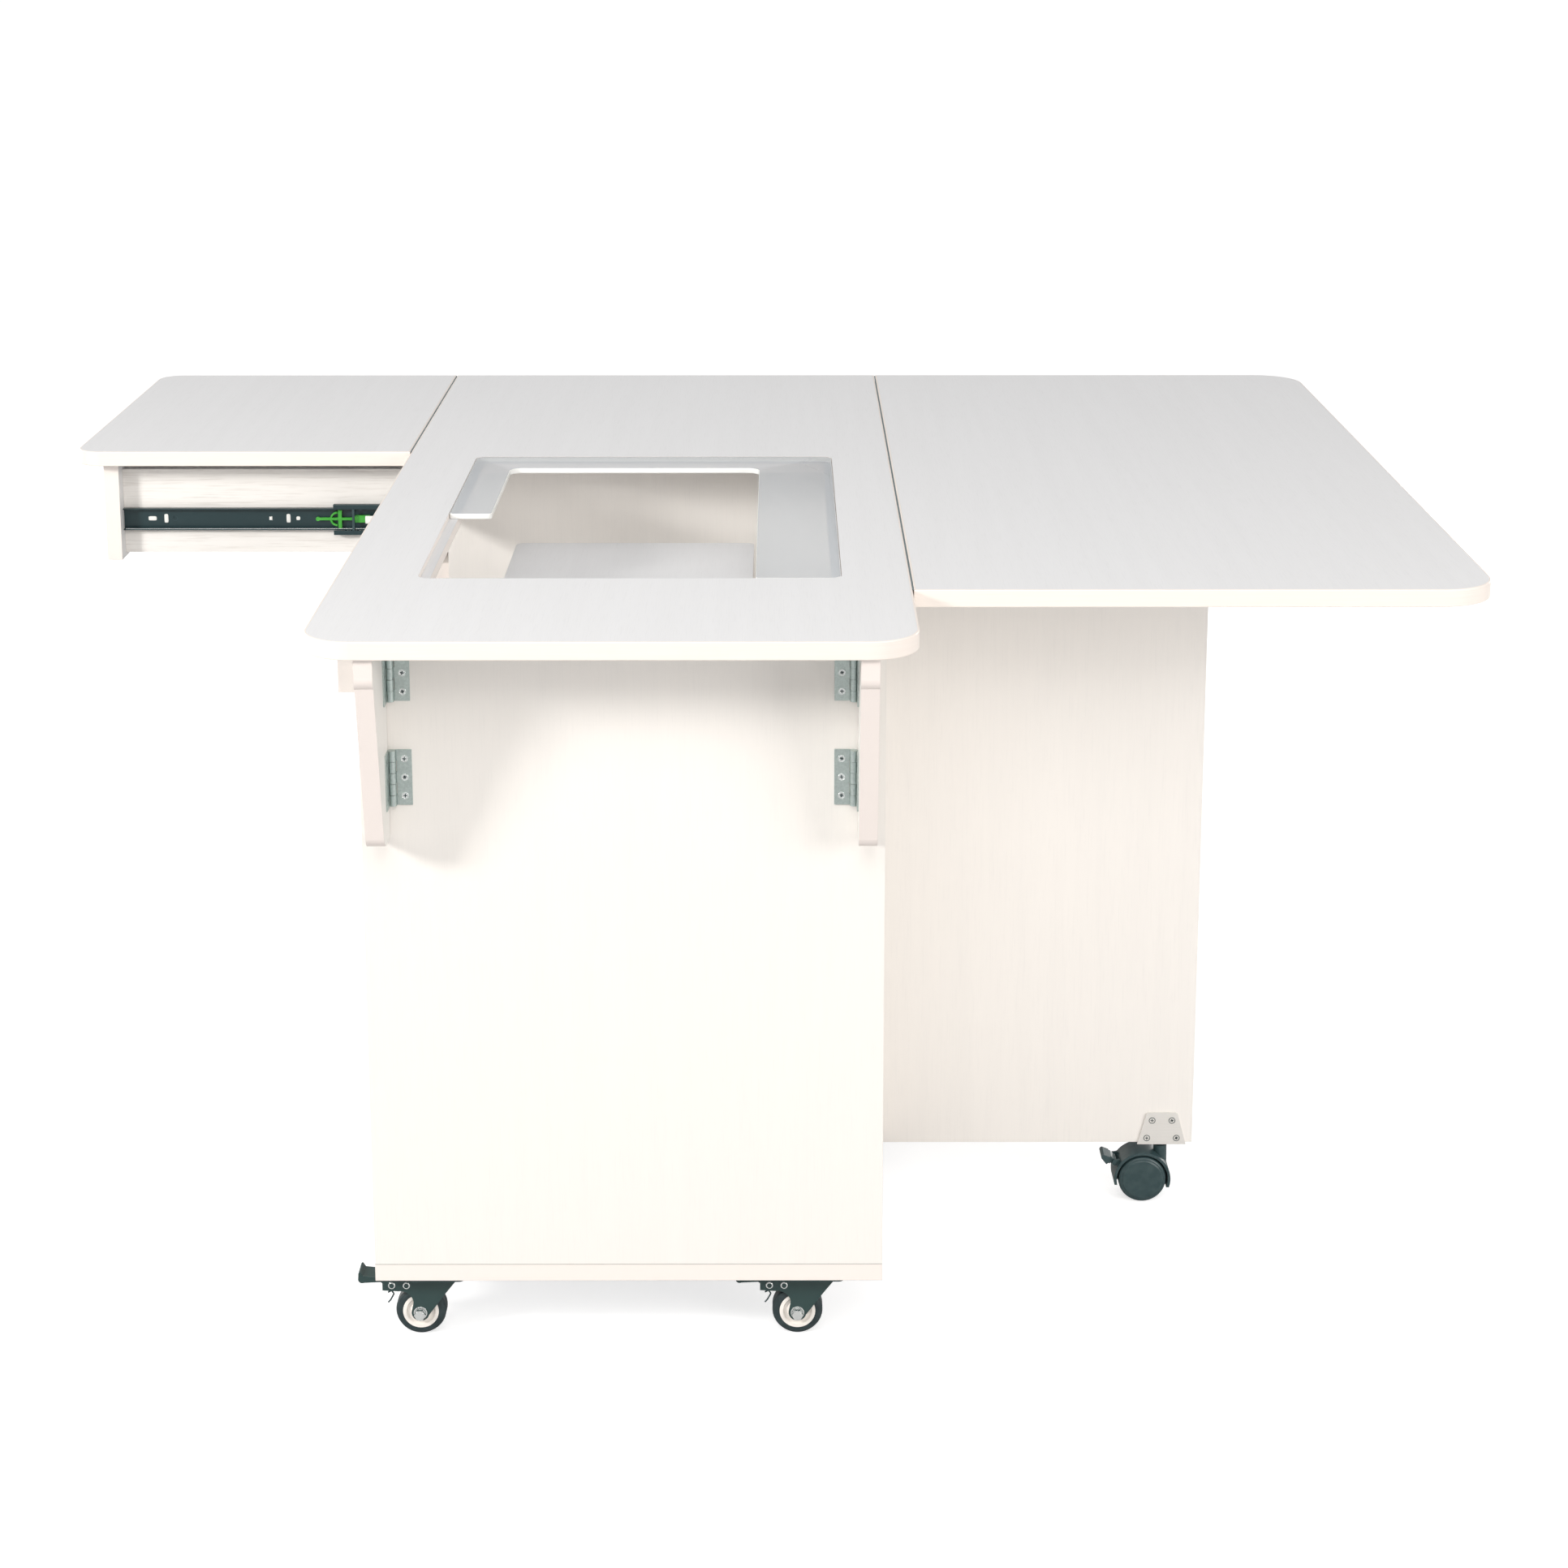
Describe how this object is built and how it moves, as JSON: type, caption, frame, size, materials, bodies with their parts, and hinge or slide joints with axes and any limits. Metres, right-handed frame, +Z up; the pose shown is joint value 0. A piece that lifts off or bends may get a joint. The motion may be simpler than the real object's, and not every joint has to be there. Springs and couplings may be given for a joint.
{
  "type": "sewing table",
  "caption": "White sewing cabinet on braked casters with flip-over front and back leaves, gate leg, machine lift under a cut-out with clear insert, leaf-bearing drawer and folding end brackets.",
  "frame": {"origin": "on the floor under the middle of the box round the opened table", "axes": "+Z up, +X towards the operator's right where the end brackets are, +Y away from the operator towards the gate leg"},
  "size_m": [1.387, 1.576, 0.762],
  "materials": {
    "melamine_board": "white wood-grain melamine, satin",
    "edge_band": "cream PVC edge band, satin",
    "clear_acrylic": "clear polished acrylic",
    "zinc_hinge": "zinc-plated pressed steel",
    "zinc_screw": "zinc-plated screws",
    "satin_plate": "light satin steel plate",
    "black_slide_steel": "black electro-coated steel",
    "green_plastic": "green moulded plastic",
    "lift_steel": "grey powder-coated steel",
    "black_fork_steel": "black coated pressed steel",
    "black_nylon": "black moulded nylon",
    "black_tyre": "black polyurethane tread",
    "cream_nylon": "cream moulded nylon"
  },
  "bodies": {
    "cabinet": {"worktop": "melamine_board", "worktop_edging": "edge_band", "worktop_hinge_barrels": "zinc_hinge", "right_side_panel": "melamine_board", "left_side_panel": "melamine_board", "pedestal_divider": "melamine_board", "base_board": "melamine_board", "back_panel": "melamine_board", "pedestal_shelf": "melamine_board", "front_apron": "melamine_board", "hinge_fixed_leaves": "zinc_hinge", "cabinet_screws": "zinc_screw", "cabinet_slide_members": "black_slide_steel", "lift_guide_rails": "lift_steel", "caster_top_plates": "black_fork_steel"},
    "front_leaf": {"front_leaf": "melamine_board", "front_leaf_edging": "edge_band", "front_leaf_hinge_barrels": "zinc_hinge"},
    "back_leaf": {"back_leaf": "melamine_board", "back_leaf_edging": "edge_band", "back_leaf_hinge_barrels": "zinc_hinge"},
    "gate_leg": {"gate_leg_panel": "melamine_board", "gate_leg_hinge_leaves": "zinc_hinge", "leg_caster_bracket": "satin_plate"},
    "leg_caster": {"leg_caster_hood": "black_nylon"},
    "leg_caster_right_wheel": {"leg_caster_right_wheel": "black_nylon"},
    "leg_caster_left_wheel": {"leg_caster_left_wheel": "black_nylon"},
    "leg_caster_brake": {"leg_caster_brake_lever": "black_nylon"},
    "front_bracket": {"front_bracket": "melamine_board", "front_bracket_hinge_leaves": "zinc_hinge"},
    "rear_bracket": {"rear_bracket": "melamine_board", "rear_bracket_hinge_leaves": "zinc_hinge"},
    "drawer": {"drawer_front": "melamine_board", "drawer_box": "melamine_board", "drawer_slide_members": "black_slide_steel"},
    "middle_slides": {"middle_slide_members": "black_slide_steel"},
    "left_release_lever": {"left_release_lever": "green_plastic"},
    "right_release_lever": {"right_release_lever": "green_plastic"},
    "pedestal_door": {"pedestal_door": "melamine_board", "pedestal_door_hinge_leaves": "zinc_hinge"},
    "lift": {"lift_platform": "melamine_board", "lift_carriage": "lift_steel"},
    "lift_handle": {"lift_handle": "lift_steel"},
    "acrylic_insert": {"acrylic_insert": "clear_acrylic"},
    "front_right_caster": {"front_right_caster_fork": "black_fork_steel"},
    "front_right_wheel": {"front_right_caster_tyre": "black_tyre", "front_right_caster_hub": "cream_nylon"},
    "front_right_pedal": {"front_right_caster_pedal": "black_fork_steel"},
    "front_left_caster": {"front_left_caster_fork": "black_fork_steel"},
    "front_left_wheel": {"front_left_caster_tyre": "black_tyre", "front_left_caster_hub": "cream_nylon"},
    "front_left_pedal": {"front_left_caster_pedal": "black_fork_steel"},
    "rear_right_caster": {"rear_right_caster_fork": "black_fork_steel"},
    "rear_right_wheel": {"rear_right_caster_tyre": "black_tyre", "rear_right_caster_hub": "cream_nylon"},
    "rear_right_pedal": {"rear_right_caster_pedal": "black_fork_steel"},
    "rear_left_caster": {"rear_left_caster_fork": "black_fork_steel"},
    "rear_left_wheel": {"rear_left_caster_tyre": "black_tyre", "rear_left_caster_hub": "cream_nylon"},
    "rear_left_pedal": {"rear_left_caster_pedal": "black_fork_steel"}
  },
  "joints": [
    {"name": "front_leaf_fold", "type": "hinge", "parent": "cabinet", "child": "front_leaf", "pos_m": [-0.432, -0.37875, 0.7623], "axis": [-1, 0, 0], "range_deg": [0, 180]},
    {"name": "back_leaf_fold", "type": "hinge", "parent": "cabinet", "child": "back_leaf", "pos_m": [-0.096, 0.20275, 0.7623], "axis": [-1, 0, 0], "range_deg": [-180, 0]},
    {"name": "gate_leg_swing", "type": "hinge", "parent": "cabinet", "child": "gate_leg", "pos_m": [0.255, 0.177, 0.4], "axis": [0, 0, -1], "range_deg": [-90, 0]},
    {"name": "leg_caster_swivel", "type": "hinge", "parent": "gate_leg", "child": "leg_caster", "pos_m": [0.268, 0.496, 0.066], "axis": [0, 0, 1], "continuous": true},
    {"name": "leg_caster_right_roll", "type": "hinge", "parent": "leg_caster", "child": "leg_caster_right_wheel", "pos_m": [0.268, 0.475, 0.0265], "axis": [1, 0, 0], "continuous": true},
    {"name": "leg_caster_left_roll", "type": "hinge", "parent": "leg_caster", "child": "leg_caster_left_wheel", "pos_m": [0.268, 0.475, 0.0265], "axis": [1, 0, 0], "continuous": true},
    {"name": "leg_caster_brake_press", "type": "hinge", "parent": "leg_caster", "child": "leg_caster_brake", "pos_m": [0.268, 0.4447, 0.044], "axis": [1, 0, 0], "range_deg": [0, 12]},
    {"name": "front_bracket_fold", "type": "hinge", "parent": "cabinet", "child": "front_bracket", "pos_m": [0.604, -0.305, 0.638], "axis": [0, 0, 1], "range_deg": [0, 90]},
    {"name": "rear_bracket_fold", "type": "hinge", "parent": "cabinet", "child": "rear_bracket", "pos_m": [0.604, 0.142, 0.638], "axis": [0, 0, -1], "range_deg": [0, 90]},
    {"name": "drawer_slide", "type": "slide", "parent": "cabinet", "child": "drawer", "axis": [0, 1, 0], "range_m": [-0.04, 0.403]},
    {"name": "middle_slide", "type": "slide", "parent": "cabinet", "child": "middle_slides", "axis": [0, 1, 0], "range_m": [-0.02, 0.2015]},
    {"name": "left_release", "type": "hinge", "parent": "drawer", "child": "left_release_lever", "pos_m": [-0.653, -0.448, 0.67], "axis": [1, 0, 0], "range_deg": [-1.5, 1.5]},
    {"name": "right_release", "type": "hinge", "parent": "drawer", "child": "right_release_lever", "pos_m": [-0.208, -0.448, 0.67], "axis": [1, 0, 0], "range_deg": [-1.5, 1.5]},
    {"name": "door_swing", "type": "hinge", "parent": "cabinet", "child": "pedestal_door", "pos_m": [-0.6855, -0.342, 0.34], "axis": [0, 0, -1], "range_deg": [0, 100]},
    {"name": "lift_travel", "type": "slide", "parent": "cabinet", "child": "lift", "axis": [0, 0, 1], "range_m": [-0.33, 0.09]},
    {"name": "lift_release", "type": "hinge", "parent": "lift", "child": "lift_handle", "pos_m": [0.184, -0.208, 0.64], "axis": [-1, 0, 0], "range_deg": [0, 14]},
    {"name": "insert_lift", "type": "slide", "parent": "cabinet", "child": "acrylic_insert", "axis": [0, 0, 1], "range_m": [0, 0.1]},
    {"name": "front_right_swivel", "type": "hinge", "parent": "cabinet", "child": "front_right_caster", "pos_m": [0.569, -0.277, 0.066], "axis": [0, 0, 1], "continuous": true},
    {"name": "front_right_roll", "type": "hinge", "parent": "front_right_caster", "child": "front_right_wheel", "pos_m": [0.569, -0.295, 0.0255], "axis": [1, 0, 0], "continuous": true},
    {"name": "front_right_brake", "type": "hinge", "parent": "front_right_caster", "child": "front_right_pedal", "pos_m": [0.569, -0.3235, 0.0555], "axis": [1, 0, 0], "range_deg": [0, 12]},
    {"name": "front_left_swivel", "type": "hinge", "parent": "cabinet", "child": "front_left_caster", "pos_m": [-0.6505, -0.277, 0.066], "axis": [0, 0, 1], "continuous": true},
    {"name": "front_left_roll", "type": "hinge", "parent": "front_left_caster", "child": "front_left_wheel", "pos_m": [-0.6505, -0.295, 0.0255], "axis": [1, 0, 0], "continuous": true},
    {"name": "front_left_brake", "type": "hinge", "parent": "front_left_caster", "child": "front_left_pedal", "pos_m": [-0.6505, -0.3235, 0.0555], "axis": [1, 0, 0], "range_deg": [0, 12]},
    {"name": "rear_right_swivel", "type": "hinge", "parent": "cabinet", "child": "rear_right_caster", "pos_m": [0.569, 0.106, 0.066], "axis": [0, 0, 1], "continuous": true},
    {"name": "rear_right_roll", "type": "hinge", "parent": "rear_right_caster", "child": "rear_right_wheel", "pos_m": [0.569, 0.088, 0.0255], "axis": [1, 0, 0], "continuous": true},
    {"name": "rear_right_brake", "type": "hinge", "parent": "rear_right_caster", "child": "rear_right_pedal", "pos_m": [0.569, 0.0595, 0.0555], "axis": [1, 0, 0], "range_deg": [0, 12]},
    {"name": "rear_left_swivel", "type": "hinge", "parent": "cabinet", "child": "rear_left_caster", "pos_m": [-0.6505, 0.106, 0.066], "axis": [0, 0, 1], "continuous": true},
    {"name": "rear_left_roll", "type": "hinge", "parent": "rear_left_caster", "child": "rear_left_wheel", "pos_m": [-0.6505, 0.088, 0.0255], "axis": [1, 0, 0], "continuous": true},
    {"name": "rear_left_brake", "type": "hinge", "parent": "rear_left_caster", "child": "rear_left_pedal", "pos_m": [-0.6505, 0.0595, 0.0555], "axis": [1, 0, 0], "range_deg": [0, 12]}
  ],
  "couplings": [
    {"joint": "middle_slide", "follows": "drawer_slide", "ratio": 0.5}
  ]
}
